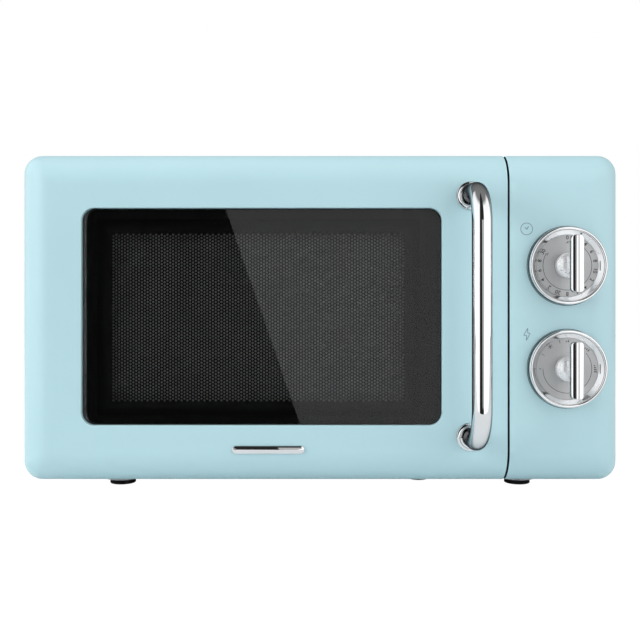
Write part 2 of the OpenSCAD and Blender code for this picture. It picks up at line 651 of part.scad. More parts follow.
// Three snap-action switches on a plate that also carries the lever's pivot pin
module microswitches() color([0.13, 0.13, 0.14]) {
    for (z = [foot_h + 44, foot_h + 110, foot_h + 184]) {
        difference() {
            slab([lock_x - 15, cab_y0 + 31, z], [lock_x - 5, cab_y0 + 47, z + 27]);
            for (h = [8, 19]) rod_x([lock_x - 12, cab_y0 + 39, z + h], 1.5, 8);
        }
        slab([latch_x[0], cab_y0 + 28, z + 11], [latch_x[1], cab_y0 + 31, z + 14]);
    }
    slab([lock_x - 16.5, cab_y0 + 20, foot_h + 40], [lock_x - 14.5, cab_y0 + 47, foot_h + 212]);
    rod_x([lock_x - 15, lever_y, lever_z], 1.5, 10);
}

// ---- door ----

module door_shell() color([0.70, 0.84, 0.87]) difference() {
    union() {
        difference() {
            intersection() {
                front_form(0, door_t);
                slab([left_x - 1, face_y - 1, 0], [door_x1, door_back_y + 1, overall_h + 1]);
            }
            hinge_corner(hinge_r);
            difference() {
                intersection() {
                    front_form(wall, door_t + 2);
                    slab([left_x, face_y, 0], [door_x1 - wall, door_back_y + 3, overall_h]);
                }
                hinge_corner(hinge_r - wall);
            }
        }
        plate_xz(window_x + [-5, 5], window_z + [-5, 5],
                 [face_y + wall - 0.5, face_y + recess], window_r + 5);
    }
    plate_xz(window_x, window_z, [face_y - 1, face_y + recess + 1], window_r);
    for (z = arm_z)
        slab([left_x - 1, hinge_y - 3.8, z - 1.4], [hinge_x + 4.5, door_back_y + 1, z + arm_t + 1.4]);
}

module door_glass() color([0.05, 0.05, 0.06, 0.6])
    plate_xz(window_x + [-glass_lap, glass_lap], window_z + [-glass_lap, glass_lap],
             [face_y + recess, face_y + recess + glass_t], window_r + glass_lap);

// The pressed steel pan of the door: a choke channel round the screen, and ears for the pins
module door_frame() color([0.10, 0.10, 0.10]) {
    difference() {
        slab([frame_x[0], screen_y, frame_z[0]], [frame_x[1], frame_back_y, frame_z[1]]);
        slab([frame_x[0] + 1, screen_y + 1, frame_z[0] + 1],
             [frame_x[1] - 1, frame_back_y + 1, frame_z[1] - 1]);
        slab([screen_x[0], screen_y - 1, screen_z[0]], [screen_x[1], screen_y + 2, screen_z[1]]);
    }
    difference() {
        slab([screen_x[0] - 1, screen_y, screen_z[0] - 1], [screen_x[1] + 1, frame_back_y, screen_z[1] + 1]);
        slab([screen_x[0], screen_y - 1, screen_z[0]], [screen_x[1], frame_back_y + 1, screen_z[1]]);
    }
    for (z = arm_z, up = [-3.9, arm_t + 2.4]) difference() {
        slab([hinge_x - 4.5, hinge_y - 4.5, z + up], [frame_x[0] + 0.5, hinge_y + 4.5, z + up + 1.5]);
        rod_z([hinge_x, hinge_y, z + up - 1], pin_r, 4);
    }
}

module door_screen() color([0.12, 0.12, 0.12])
    slab([screen_x[0], screen_y, screen_z[0]], [screen_x[1], screen_y + 1, screen_z[1]]);

module door_film() color([0.75, 0.78, 0.80, 0.3])
    slab([screen_x[0], screen_y + 9, screen_z[0]], [screen_x[1], screen_y + 9.8, screen_z[1]]);

module choke_cover() color([0.62, 0.63, 0.63]) difference() {
    slab([hinge_x + 5, frame_back_y, foot_h + wall + 0.3],
         [door_x1 - wall - 0.2, door_back_y, overall_h - wall - 0.3]);
    plate_xz(screen_x, screen_z, [frame_back_y - 1, door_back_y + 1], 6);
    for (z = latch_hook_z)
        slab([latch_x[0] - 0.8, frame_back_y - 1, z - 1],
             [latch_x[1] + 0.8, door_back_y + 1, z + hook_h + latch_lift + 1]);
}

module door_hinge_pins() color([0.75, 0.76, 0.78]) for (z = arm_z)
    rod_z([hinge_x, hinge_y, z - 5.5], pin_r, arm_t + 11);

// The latch: a bar inside the door with two hooks that reach into the cabinet
module latch_slider() color([0.90, 0.90, 0.88]) {
    slab([latch_x[0], door_back_y - 14, latch_hook_z[0] - 10],
         [latch_x[1], door_back_y - 4, latch_hook_z[1] + 18]);
    for (z = latch_hook_z) {
        slab([latch_x[0], door_back_y - 5, z], [latch_x[1], hook_end_y, z + hook_h]);
        slab([latch_x[0], hook_end_y - 3.6, z - 4], [latch_x[1], hook_end_y, z + 1]);
    }
}

// ---- handle and badge ----

module handle_bar() color([0.88, 0.89, 0.90]) translate([handle_x, face_y, handle_z0]) {
    rod_z([0, -handle_reach, handle_bend], handle_r, handle_span - 2 * handle_bend);
    for (end = [0, 1]) translate([0, 0, end * handle_span]) mirror([0, 0, end]) {
        rod_y([0, -handle_reach + handle_bend, 0], handle_r, handle_reach - handle_bend);
        translate([0, -handle_reach + handle_bend, handle_bend]) rotate([0, 90, 180])
            rotate_extrude(angle = 90) translate([handle_bend, 0]) circle(handle_r);
    }
}

// The stepped flanges at the handle's feet, and the screws that hold it from inside the door
module handle_rosettes() color([0.86, 0.87, 0.88]) for (end = [0, 1])
    translate([handle_x, face_y, handle_z0 + end * handle_span]) {
        rotate([90, 0, 0]) rotate_extrude() polygon([
            [handle_r, 0], [10.5, 0], [10.5, 1.6], [9.9, 2.2], [8.6, 2.6], [8, 4], [handle_r, 4.6]
        ]);
        rod_y([0, wall, 0], 5.5, 2.6);
    }

// A plain badge under the window
module door_badge() color([0.88, 0.89, 0.90])
    plate_xz([left_x + 160.5, left_x + 214.5], [foot_h + 22, foot_h + 28], [face_y - 1.2, face_y], 2.9);

outer_wrapper();
base_plate();
back_panel();
face_plate();
cavity_box();
waveguide_cover();
waveguide();
magnetron_tube();
magnetron_fins();
magnetron_yoke();
transformer_core();
transformer_windings();
capacitor();
capacitor_strap();
high_voltage_diode();
fan_shroud();
fan_motor();
fan_blade();
cavity_lamp();
lamp_holder();
thermal_cutout();
filter_board();
turntable_motor();
turntable_coupler();
turntable_glass();
roller_ring();
roller(roller_angles[0]);  // roller_a
roller(roller_angles[1]);  // roller_b
roller(roller_angles[2]);  // roller_c
control_panel();
control_bracket();
timer_unit();
power_switch_unit();
dial_ring(dial_z[1]);  // timer_dial_ring
dial_plate(dial_z[1]);  // timer_dial_plate
knob(dial_z[1]);  // timer_knob
knob_shaft(dial_z[1]);  // timer_shaft
dial_ring(dial_z[0]);  // power_dial_ring
dial_plate(dial_z[0]);  // power_dial_plate
knob(dial_z[0]);  // power_knob
knob_shaft(dial_z[0]);  // power_shaft
interlock_body();
interlock_lever();
microswitches();
hinge_brackets();
door_shell();
door_glass();
door_frame();
door_screen();
door_film();
choke_cover();
door_hinge_pins();
latch_slider();
handle_bar();
handle_rosettes();
door_badge();
foot_pads();
cabinet_screws();
cord_gland();
wall_spacers();
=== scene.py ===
"""Looks for the countertop microwave oven: moulded front, window, chrome, dials and cavity."""

import math

import bmesh
import bpy
from mathutils import Matrix, Vector

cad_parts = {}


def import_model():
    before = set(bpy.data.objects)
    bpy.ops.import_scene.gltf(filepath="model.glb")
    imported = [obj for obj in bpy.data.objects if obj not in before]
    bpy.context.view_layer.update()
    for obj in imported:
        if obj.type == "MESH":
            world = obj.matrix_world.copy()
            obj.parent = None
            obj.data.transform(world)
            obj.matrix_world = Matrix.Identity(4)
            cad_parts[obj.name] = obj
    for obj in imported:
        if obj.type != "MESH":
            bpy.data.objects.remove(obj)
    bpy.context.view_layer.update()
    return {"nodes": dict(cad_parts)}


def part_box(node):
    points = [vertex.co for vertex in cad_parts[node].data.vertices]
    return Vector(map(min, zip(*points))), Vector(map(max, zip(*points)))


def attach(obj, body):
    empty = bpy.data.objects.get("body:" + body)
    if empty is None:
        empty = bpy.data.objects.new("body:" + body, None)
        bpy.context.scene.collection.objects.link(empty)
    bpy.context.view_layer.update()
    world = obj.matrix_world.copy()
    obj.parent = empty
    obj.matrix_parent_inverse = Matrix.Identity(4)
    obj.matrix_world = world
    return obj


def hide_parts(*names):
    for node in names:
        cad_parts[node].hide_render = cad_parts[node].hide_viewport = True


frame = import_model()
MM = 0.001


# ---------------------------------------------------------------- materials


def linear(r, g, b):
    """An sRGB colour, 0 to 255, as linear RGBA."""
    out = []
    for c in (r, g, b):
        c /= 255
        out.append(c / 12.92 if c <= 0.04045 else ((c + 0.055) / 1.055) ** 2.4)
    return (*out, 1.0)


def shade(colour, factor):
    return (*(min(1.0, c * factor) for c in colour[:3]), 1.0)


class Nodes:
    """A short way to add and link shader nodes."""

    def __init__(self, tree):
        self.tree = tree
        tree.nodes.clear()

    def add(self, kind, inputs=None, **values):
        node = self.tree.nodes.new(kind)
        for key, value in values.items():
            setattr(node, key, value)
        for key, value in (inputs or {}).items():
            if isinstance(value, bpy.types.NodeSocket):
                self.tree.links.new(value, node.inputs[key])
            else:
                node.inputs[key].default_value = value
        return node

    def math(self, operation, a, b=0.0, clamp=False):
        return self.add("ShaderNodeMath", {0: a, 1: b}, operation=operation, use_clamp=clamp).outputs[0]

    def noise(self, vector, scale, detail=3.0, roughness=0.5):
        return self.add(
            "ShaderNodeTexNoise", {"Vector": vector, "Scale": scale, "Detail": detail, "Roughness": roughness}
        ).outputs["Fac"]

    def spread(self, value, low, high, start=0.3, end=0.7):
        return self.add(
            "ShaderNodeMapRange",
            {"Value": value, "From Min": start, "From Max": end, "To Min": low, "To Max": high},
        ).outputs["Result"]

    def mix(self, factor, a, b):
        node = self.add("ShaderNodeMix", data_type="RGBA")
        for index, value in ((0, factor), (6, a), (7, b)):
            if isinstance(value, bpy.types.NodeSocket):
                self.tree.links.new(value, node.inputs[index])
            else:
                node.inputs[index].default_value = value
        return node.outputs[2]


def material(
    name,
    colour,
    rough,
    metal=0.0,
    mottle=0.04,
    mottle_scale=30.0,
    rough_spread=0.06,
    rough_scale=120.0,
    bump=0.02,
    bump_scale=900.0,
    stretch=(1, 1, 1),
    wear=0.0,
    specks=None,
    **sockets,
):
    """A procedural finish: colour that drifts, a roughness that varies, a fine relief and worn edges."""
    mat = bpy.data.materials.new(name)
    mat.use_nodes = True
    n = Nodes(mat.node_tree)
    place = n.add("ShaderNodeTexCoord").outputs["Object"]
    place = n.add("ShaderNodeMapping", {"Vector": place, "Scale": stretch}).outputs["Vector"]
    drift = n.noise(place, mottle_scale, 4.0)
    base = n.mix(n.spread(drift, 0, 1), shade(colour, 1 - mottle), shade(colour, 1 + mottle))
    fine = n.noise(place, rough_scale, 5.0, 0.6)
    roughness = n.spread(fine, max(0.0, rough - rough_spread), rough + rough_spread)
    if specks:
        dots = n.noise(place, specks[1], 2.0)
        mask = n.spread(dots, 0, 1, specks[2], specks[2] + 0.03)
        base = n.mix(mask, base, specks[0])
    if wear:
        edge = n.add("ShaderNodeNewGeometry").outputs["Pointiness"]
        edge = n.spread(edge, 0, 1, 0.53, 0.62)
        edge = n.math("MULTIPLY", edge, n.spread(fine, 0.3, 1.0))
        base = n.mix(n.math("MULTIPLY", edge, wear, True), base, shade(colour, 1.35))
    relief = n.add(
        "ShaderNodeBump", {"Height": n.noise(place, bump_scale, 3.0), "Strength": bump, "Distance": 0.0004}
    ).outputs["Normal"]
    shader = n.add(
        "ShaderNodeBsdfPrincipled",
        {"Base Color": base, "Roughness": roughness, "Metallic": metal, "Normal": relief},
    )
    for key, value in sockets.items():
        shader.inputs[key.replace("_", " ")].default_value = value
    out = n.add("ShaderNodeOutputMaterial")
    mat.node_tree.links.new(shader.outputs[0], out.inputs["Surface"])
    return mat


BLUE = linear(187, 223, 231)
M = {
    "moulded_blue": material(
        "moulded_blue", BLUE, 0.34, mottle=0.012, mottle_scale=14, rough_spread=0.03, rough_scale=60,
        bump=0.05, bump_scale=1500, wear=0.25,
    ),
    "painted_blue": material(
        "painted_blue", shade(BLUE, 0.96), 0.42, mottle=0.02, mottle_scale=18, rough_spread=0.05,
        rough_scale=90, bump=0.16, bump_scale=1300, wear=0.4,
    ),
    "chrome": material(
        "chrome", (0.90, 0.91, 0.92, 1), 0.045, 1.0, mottle=0.02, mottle_scale=40, rough_spread=0.02,
        rough_scale=200, bump=0.012, bump_scale=500, Specular_Tint=(0.05, 0.05, 0.05, 1),
    ),
    "hub_satin": material(
        "hub_satin", (0.93, 0.94, 0.95, 1), 0.30, 0.6, mottle=0.03, mottle_scale=80, rough_spread=0.05,
        rough_scale=700, bump=0.03, bump_scale=2400,
    ),
    "dial_satin": material(
        "dial_satin", linear(192, 193, 194), 0.42, 0.25, mottle=0.03, mottle_scale=60, rough_spread=0.05,
        rough_scale=900, bump=0.10, bump_scale=3800,
    ),
    "window_glass": material(
        "window_glass", (0.80, 0.82, 0.82, 1), 0.012, mottle=0.004, mottle_scale=10, rough_spread=0.006,
        rough_scale=30, bump=0.0, Transmission_Weight=1.0, IOR=1.5,
    ),
    "black_enamel": material(
        "black_enamel", (0.003, 0.003, 0.003, 1), 0.5, mottle=0.1, rough_spread=0.08, bump=0.08,
        bump_scale=1600, Specular_IOR_Level=0.12,
    ),
    "gloss_black": material(
        "gloss_black", (0.012, 0.012, 0.013, 1), 0.12, mottle=0.1, rough_spread=0.04, bump=0.03,
        bump_scale=300, stretch=(1, 1, 0.05),
    ),
    "film": material(
        "film", (0.62, 0.62, 0.62, 1), 0.35, mottle=0.10, mottle_scale=45, rough_spread=0.08, bump=0.03,
        bump_scale=120,
    ),
    "choke_grey": material(
        "choke_grey", linear(150, 152, 153), 0.48, mottle=0.03, bump=0.14, bump_scale=1700, wear=0.3,
    ),
    "zinc": material(
        "zinc", linear(176, 180, 182), 0.36, 0.9, mottle=0.10, mottle_scale=70, rough_spread=0.10,
        rough_scale=90, bump=0.06, bump_scale=700, wear=0.3,
    ),
    "satin_sheet": material(
        "satin_sheet", linear(214, 216, 218), 0.34, 0.35, mottle=0.06, mottle_scale=60, rough_spread=0.08,
        rough_scale=90, bump=0.05, bump_scale=700, wear=0.3,
    ),
    "enamel": material(
        "enamel", linear(206, 206, 200), 0.26, mottle=0.02, rough_spread=0.05, bump=0.10, bump_scale=700,
        specks=(linear(176, 176, 171), 900.0, 0.68),
    ),
    "rubber": material(
        "rubber", linear(26, 26, 27), 0.62, mottle=0.12, rough_spread=0.1, bump=0.2, bump_scale=1400,
        wear=0.5,
    ),
    "spacer": material("spacer", linear(38, 38, 40), 0.5, mottle=0.08, bump=0.16, bump_scale=1500, wear=0.5),
    "copper": material(
        "copper", linear(196, 110, 60), 0.32, 0.85, mottle=0.12, mottle_scale=80, bump=0.5, bump_scale=420,
        stretch=(0.15, 1, 3),
    ),
    "core": material(
        "core", linear(92, 88, 82), 0.5, 0.6, mottle=0.15, bump=0.6, bump_scale=600, stretch=(0.1, 3, 0.1),
    ),
    "aluminium": material(
        "aluminium", linear(205, 207, 210), 0.3, 0.95, mottle=0.05, bump=0.05, bump_scale=900,
        stretch=(1, 1, 0.2),
    ),
    "white_plastic": material(
        "white_plastic", linear(228, 227, 220), 0.4, mottle=0.02, bump=0.08, bump_scale=1500, wear=0.2,
        Subsurface_Weight=0.05,
    ),
    "red_plastic": material("red_plastic", linear(190, 52, 38), 0.4, mottle=0.04, bump=0.08, wear=0.3),
    "black_plastic": material("black_plastic", linear(30, 30, 32), 0.42, mottle=0.08, bump=0.12, wear=0.5),
    "board": material(
        "board", linear(52, 98, 62), 0.4, mottle=0.15, mottle_scale=160, bump=0.2, bump_scale=500,
        specks=(linear(150, 150, 110), 500.0, 0.62),
    ),
    "table_glass": material(
        "table_glass", (0.93, 0.97, 0.96, 1), 0.03, mottle=0.01, rough_spread=0.02, bump=0.03, bump_scale=90,
        Transmission_Weight=1.0, IOR=1.47,
    ),
    "lamp_glass": material(
        "lamp_glass", (0.95, 0.93, 0.86, 1), 0.06, mottle=0.02, bump=0.02, Transmission_Weight=0.8, IOR=1.45,
    ),
    "mica": material(
        "mica", linear(198, 182, 150), 0.38, mottle=0.12, mottle_scale=60, rough_spread=0.12, bump=0.12,
        bump_scale=260, specks=(linear(230, 216, 180), 240.0, 0.6),
    ),
    "brass": material("brass", linear(190, 160, 96), 0.3, 0.95, mottle=0.08, bump=0.05, wear=0.2),
    "steel": material(
        "steel", linear(196, 198, 200), 0.24, 1.0, mottle=0.06, rough_spread=0.08, bump=0.03, bump_scale=900,
    ),
    "print_grey": material("print_grey", linear(110, 140, 148), 0.5, mottle=0.05, bump=0.05),
    # Black for print; also used as painted shade at the front's seam and round the dial bezels.
    "black_print_and_shade": material("black_print_and_shade", linear(24, 24, 25), 0.5, mottle=0.1, bump=0.05),
}


# ---------------------------------------------------------------- mesh helpers


def finish_mesh(name, bm, mat, body, replaces=(), angle=35, weld=1e-6):
    """Makes an object of a bmesh, shades it, and lets it ride on a CAD body."""
    if weld:
        bmesh.ops.remove_doubles(bm, verts=bm.verts, dist=weld)
    mesh = bpy.data.meshes.new(name)
    bm.to_mesh(mesh)
    bm.free()
    mesh.shade_smooth()
    mesh.set_sharp_from_angle(angle=math.radians(angle))
    mesh.materials.append(M[mat])
    obj = bpy.data.objects.new(name, mesh)
    bpy.context.scene.collection.objects.link(obj)
    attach(obj, body)
    if replaces:
        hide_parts(*replaces)
    return obj


def face_out(bm):
    bmesh.ops.recalc_face_normals(bm, faces=bm.faces)


def grid_faces(bm, rows, closed=False):
    """Quads between rows of points, each row a list of bmesh vertices."""
    for a, b in zip(rows, rows[1:]):
        count = len(a) if closed else len(a) - 1
        for i in range(count):
            j = (i + 1) % len(a)
            quad = [a[i], a[j], b[j], b[i]]
            if len(set(quad)) == 4:
                bm.faces.new(quad)


def lathe(bm, profile, centre, axis="Y", segments=96, close=True):
    """Turns a profile of (radius, height) about an axis through centre. Along Y the height goes to -Y."""
    rows = []
    for radius, height in profile:
        ring = []
        for i in range(segments):
            t = 2 * math.pi * i / segments
            u, v = radius * math.cos(t), radius * math.sin(t)
            offset = (u, -height, v) if axis == "Y" else (u, v, height)
            ring.append(bm.verts.new(Vector(centre) + Vector(offset)))
        rows.append(ring)
    if close:
        rows.append(rows[0])
    grid_faces(bm, rows, True)


def arc(cx, cy, radius, start, end, steps):
    """Points on an arc, in the profile's own plane, with angles in degrees."""
    return [
        (
            cx + radius * math.cos(math.radians(start + (end - start) * i / steps)),
            cy + radius * math.sin(math.radians(start + (end - start) * i / steps)),
        )
        for i in range(steps + 1)
    ]


def rounded(x0, x1, z0, z1, r, steps=10):
    """A rounded rectangle's outline, anticlockwise as (x, z)."""
    centres = ((x1 - r, z1 - r), (x0 + r, z1 - r), (x0 + r, z0 + r), (x1 - r, z0 + r))
    points = []
    for quarter, (cx, cz) in enumerate(centres):
        points += arc(cx, cz, r, 90 * quarter, 90 * quarter + 90, steps)
    return points


def circle(cx, cz, r, count):
    """A closed circle of points (x, z)."""
    turns = [2 * math.pi * i / count for i in range(count)]
    return [(cx + r * math.cos(t), cz + r * math.sin(t)) for t in turns]


def ring_at(bm, outline, y):
    """Vertices along an outline of points (x, z), at depth y."""
    return [bm.verts.new((x, y, z)) for x, z in outline]


PRINT_T = 0.06 * MM


def strip(bm, points, width, y, thick=PRINT_T, closed=False):
    """A thin line of that width through points (x, z), standing a little proud of y: printed marks, and
    painted shadow lines.
    """
    count = len(points)
    sides = []
    for i, (x, z) in enumerate(points):
        before = points[i - 1] if i or closed else points[0]
        after = points[(i + 1) % count] if i < count - 1 or closed else points[-1]
        along = Vector((after[0] - before[0], after[1] - before[1])).normalized()
        d1 = Vector((x - before[0], z - before[1]))
        cosine = max(0.5, abs(d1.normalized().dot(along))) if d1.length > 1e-9 else 1.0
        half = Vector((-along.y, along.x)) * (width / 2 / cosine)
        sides.append(((x + half.x, z + half.y), (x - half.x, z - half.y)))
    ring = [
        [bm.verts.new((p[0], y - t, p[1])) for t in (0, thick)] for pair in sides for p in pair
    ]
    last = count if closed else count - 1
    for i in range(last):
        a, b = ring[2 * i], ring[2 * i + 1]
        c, d = ring[2 * ((i + 1) % count)], ring[2 * ((i + 1) % count) + 1]
        bm.faces.new([a[1], b[1], d[1], c[1]])
        bm.faces.new([a[0], c[0], d[0], b[0]])
        bm.faces.new([a[0], a[1], c[1], c[0]])
        bm.faces.new([b[0], d[0], d[1], b[1]])
    if not closed:
        for i in (0, count - 1):
            a, b = ring[2 * i], ring[2 * i + 1]
            bm.faces.new([a[0], b[0], b[1], a[1]])


def numeral(bm, text, size, centre, turn, y):
    """A printed numeral at centre (x, z), turned clockwise by turn degrees, standing proud of y."""
    curve = bpy.data.curves.new("numeral", "FONT")
    curve.body = text
    curve.size = size
    curve.align_x = "CENTER"
    curve.align_y = "CENTER"
    curve.extrude = PRINT_T / 2
    curve.offset = 0.012 * size
    curve.resolution_u = 3
    obj = bpy.data.objects.new("numeral", curve)
    bpy.context.scene.collection.objects.link(obj)
    bpy.context.view_layer.update()
    mesh = bpy.data.meshes.new_from_object(obj.evaluated_get(bpy.context.evaluated_depsgraph_get()))
    place = (
        Matrix.Translation((centre[0], y - PRINT_T / 2, centre[1]))
        @ Matrix.Rotation(math.radians(turn), 4, "Y")
        @ Matrix.Rotation(math.radians(90), 4, "X")
    )
    mesh.transform(place)
    bm.from_mesh(mesh)
    bpy.data.objects.remove(obj)
    bpy.data.curves.remove(curve)
    bpy.data.meshes.remove(mesh)


def smooth_cad(node, mat, bevel=0.3, segments=2, angle=38):
    """Keeps a CAD node's shape, with its finish and softly broken edges."""
    obj = frame["nodes"][node]
    obj.data.materials.clear()
    obj.data.materials.append(M[mat])
    for polygon in obj.data.polygons:
        polygon.material_index = 0
    weld = obj.modifiers.new("weld", "WELD")
    weld.merge_threshold = 0.00001
    if bevel:
        mod = obj.modifiers.new("edges", "BEVEL")
        mod.width = bevel * MM
        mod.segments = segments
        mod.limit_method = "ANGLE"
        mod.angle_limit = math.radians(angle)
        mod.use_clamp_overlap = True
        mod.harden_normals = False
    normal = obj.modifiers.new("normals", "WEIGHTED_NORMAL")
    normal.keep_sharp = True


# ---------------------------------------------------------------- the moulded front

SHELL_LO, SHELL_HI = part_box("door_shell")
PANEL_LO, PANEL_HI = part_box("control_panel")
FACE_Y = SHELL_LO.y
LEFT_X, RIGHT_X = SHELL_LO.x, PANEL_HI.x
LOW_Z, TOP_Z = SHELL_LO.z, SHELL_HI.z
ROLL_R = 26 * MM
ROLL_W = 24 * MM
CORNER_R = 14 * MM
SEAM_BEVEL = 0.5 * MM
WALL = 2.4 * MM
SEAM_TURNS = (math.pi / 6, math.pi / 3, math.pi / 2)
CORNER_STEPS = 16
MIDDLE_STEPS = 16
FLAT_STEPS = 8
ROLL_STEPS = 14
SIDE_LIP = 0.7 * MM
NOTCH_REACH = 14 * MM
TOUCH = 1e-7


def front_piece(name, edge_x, cut_x, back_y, body, mat, node, window=None, hinge=None, notches=()):
    """One piece of the pillowed front, from its outer edge to the seam, as nested contours.

    window is its opening's box, corner radius, depth and fillet. hinge is the pin's x and y and the
    radius of the wall round it. notches are the heights where the hinge brackets' arms come in.
    """
    bm = bmesh.new()
    to_seam = 1 if cut_x > edge_x else -1
    width = abs(cut_x - edge_x)
    inner = width - SEAM_BEVEL
    span = LOW_Z - TOP_Z + 2 * ROLL_W
    middle = [TOP_Z - ROLL_W + span * i / MIDDLE_STEPS for i in range(MIDDLE_STEPS + 1)]
    bends = [90 * i / CORNER_STEPS for i in range(CORNER_STEPS + 1)]
    across = [inner + (ROLL_W - inner) * i / FLAT_STEPS for i in range(FLAT_STEPS + 1)]

    def contour(s, y, tilt, clip):
        """Vertices of one contour: s is its distance outside the flat, tilt its slope."""
        r = s * CORNER_R / ROLL_W
        points = [(a, TOP_Z - ROLL_W + s) for a in across[:-1]]
        for low in (False, True):
            if low:
                points += [(ROLL_W - s, z) for z in middle[1:-1]]
            for phi in bends if low else reversed(bends):
                c, d = math.cos(math.radians(phi)), math.sin(math.radians(phi))
                out = s - r + r * d
                z = LOW_Z + ROLL_W - out if low else TOP_Z - ROLL_W + out
                points.append((ROLL_W - (s - r + r * c), z))
        points += [(a, LOW_Z + ROLL_W - s) for a in reversed(across[:-1])]
        row = [bm.verts.new((edge_x + to_seam * max(a, clip), y, z)) for a, z in points]
        ends = []
        for z, up in ((TOP_Z - ROLL_W + s, 1), (LOW_Z + ROLL_W - s, -1)):
            ends.append([
                bm.verts.new((
                    edge_x + to_seam * (inner + SEAM_BEVEL * math.sin(t)),
                    y + SEAM_BEVEL * (1 - math.cos(t)) * math.cos(tilt),
                    z - up * SEAM_BEVEL * (1 - math.cos(t)) * math.sin(tilt),
                ))
                for t in SEAM_TURNS
            ])
        return list(reversed(ends[0])) + row + ends[1]

    rows = []
    last = math.asin(ROLL_W / ROLL_R)
    for i in range(ROLL_STEPS + 1):
        t = last * i / ROLL_STEPS
        rows.append(contour(ROLL_R * math.sin(t), FACE_Y + ROLL_R * (1 - math.cos(t)), t, 0))
    side_y = FACE_Y + ROLL_R * (1 - math.cos(last))
    levels = [side_y + 0.2 * MM, side_y + SIDE_LIP]
    if hinge:
        hx, hy, hr = hinge
        levels += [hy] + [hy + hr * math.sin(math.radians(a)) for a in range(10, 90, 10)]
    levels += [back_y]
    for y in levels:
        clip = 0
        if hinge and y > hy:
            clip = hx - math.sqrt(max(0.0, hr * hr - (y - hy) ** 2)) - edge_x
        rows.append(contour(ROLL_W, y, math.pi / 2, clip))
    grid_faces(bm, rows)

    # A notch takes the faces whose centres lie in it. The rows of the mesh don't fall on the notches'
    # edges, so on this door the low notch takes none and the high one takes more than its height.
    if notches:
        doomed = []
        for f in bm.faces:
            x, y, z = f.calc_center_median()
            near_edge = y > side_y + SIDE_LIP and to_seam * (x - edge_x) < NOTCH_REACH
            if near_edge and any(a < z < b for a, b in notches):
                doomed.append(f)
        bmesh.ops.delete(bm, geom=doomed, context="FACES")

    # The seam's edge along the flat, the flat itself and the wall at the seam
    first = rows[0]
    seam = [first[3]]
    bevels = [[first[2], first[1], first[0]]]
    for z in middle[1:-1]:
        seam.append(bm.verts.new((edge_x + to_seam * inner, FACE_Y, z)))
        bevels.append([
            bm.verts.new((
                edge_x + to_seam * (inner + SEAM_BEVEL * math.sin(t)),
                FACE_Y + SEAM_BEVEL * (1 - math.cos(t)),
                z,
            ))
            for t in SEAM_TURNS
        ])
    seam.append(first[-4])
    bevels.append(list(first[-3:]))
    grid_faces(bm, [[v, *b] for v, b in zip(seam, bevels)])
    bm.faces.new([r[0] for r in reversed(rows)] + [b[2] for b in bevels[1:-1]] + [r[-1] for r in rows])
    bmesh.ops.remove_doubles(bm, verts=bm.verts, dist=TOUCH)
    if window:
        x0, x1, z0, z1, r, depth, fillet = window
        rings = []
        for t in (0, 22.5, 45, 67.5, 90):
            grow = fillet * (1 - math.sin(math.radians(t)))
            y = FACE_Y + fillet * (1 - math.cos(math.radians(t)))
            outline = rounded(x0 - grow, x1 + grow, z0 - grow, z1 + grow, r + grow)
            rings.append(ring_at(bm, outline, y))
        rings.append(ring_at(bm, rounded(x0, x1, z0, z1, r), FACE_Y + depth))
        grid_faces(bm, rings, True)
        bmesh.ops.remove_doubles(bm, verts=bm.verts, dist=TOUCH)

    def on_face(part):
        return all(abs(v.co.y - FACE_Y) < TOUCH for v in part.verts)

    loops = [e for e in bm.edges if e.is_boundary and on_face(e)]
    bmesh.ops.triangle_fill(bm, edges=loops, use_beauty=True, use_dissolve=False)
    face_out(bm)
    if sum(f.normal.y * f.calc_area() for f in bm.faces if on_face(f)) > 0:
        bmesh.ops.reverse_faces(bm, faces=bm.faces)
    obj = finish_mesh(name, bm, mat, body, (node,), angle=40)
    # The wall at the seam takes the black finish as painted shade, so the gap between the door and the panel
    # reads dark.
    obj.data.materials.append(M["black_print_and_shade"])
    for polygon in obj.data.polygons:
        if abs(polygon.center.x - cut_x) < 0.15 * MM:
            polygon.material_index = 1
    shell = obj.modifiers.new("wall", "SOLIDIFY")
    shell.thickness = WALL
    shell.offset = -1
    shell.use_even_offset = True
    shell.thickness_clamp = 1.0
    normal = obj.modifiers.new("normals", "WEIGHTED_NORMAL")
    normal.keep_sharp = True


GLASS_LO, GLASS_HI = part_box("door_glass")
GLASS_LAP = 3.5 * MM
WINDOW = (GLASS_LO.x + GLASS_LAP, GLASS_HI.x - GLASS_LAP, GLASS_LO.z + GLASS_LAP, GLASS_HI.z - GLASS_LAP)
WINDOW_R = 9.5 * MM
PIN_LO, PIN_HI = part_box("door_hinge_pins")
HINGE_X, HINGE_Y = (PIN_LO.x + PIN_HI.x) / 2, (PIN_LO.y + PIN_HI.y) / 2
HINGE_R = SHELL_HI.y - HINGE_Y
ARM_LO, ARM_HI = PIN_LO.z + 5.5 * MM, PIN_HI.z - 7.7 * MM
NOTCH_BELOW, NOTCH_ABOVE = 1.4 * MM, 3.6 * MM
NOTCHES = tuple((z - NOTCH_BELOW, z + NOTCH_ABOVE) for z in (ARM_LO, ARM_HI))
WINDOW_FILLET = 0.7 * MM

front_piece(
    "door_front", LEFT_X, SHELL_HI.x, SHELL_HI.y, "door", "moulded_blue", "door_shell",
    window=(*WINDOW, WINDOW_R, GLASS_LO.y - FACE_Y, WINDOW_FILLET),
    hinge=(HINGE_X, HINGE_Y, HINGE_R),
    notches=NOTCHES,
)
front_piece(
    "panel_front", RIGHT_X, PANEL_LO.x, PANEL_HI.y, "cabinet", "moulded_blue", "control_panel",
)


# ---------------------------------------------------------------- the window

SCREEN_LO, SCREEN_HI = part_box("door_screen")
HOLE_PITCH = 2.5 * MM
HOLE_R = 0.93 * MM
SCREEN_RIM = 11 * MM
SCREEN_T = 0.4 * MM


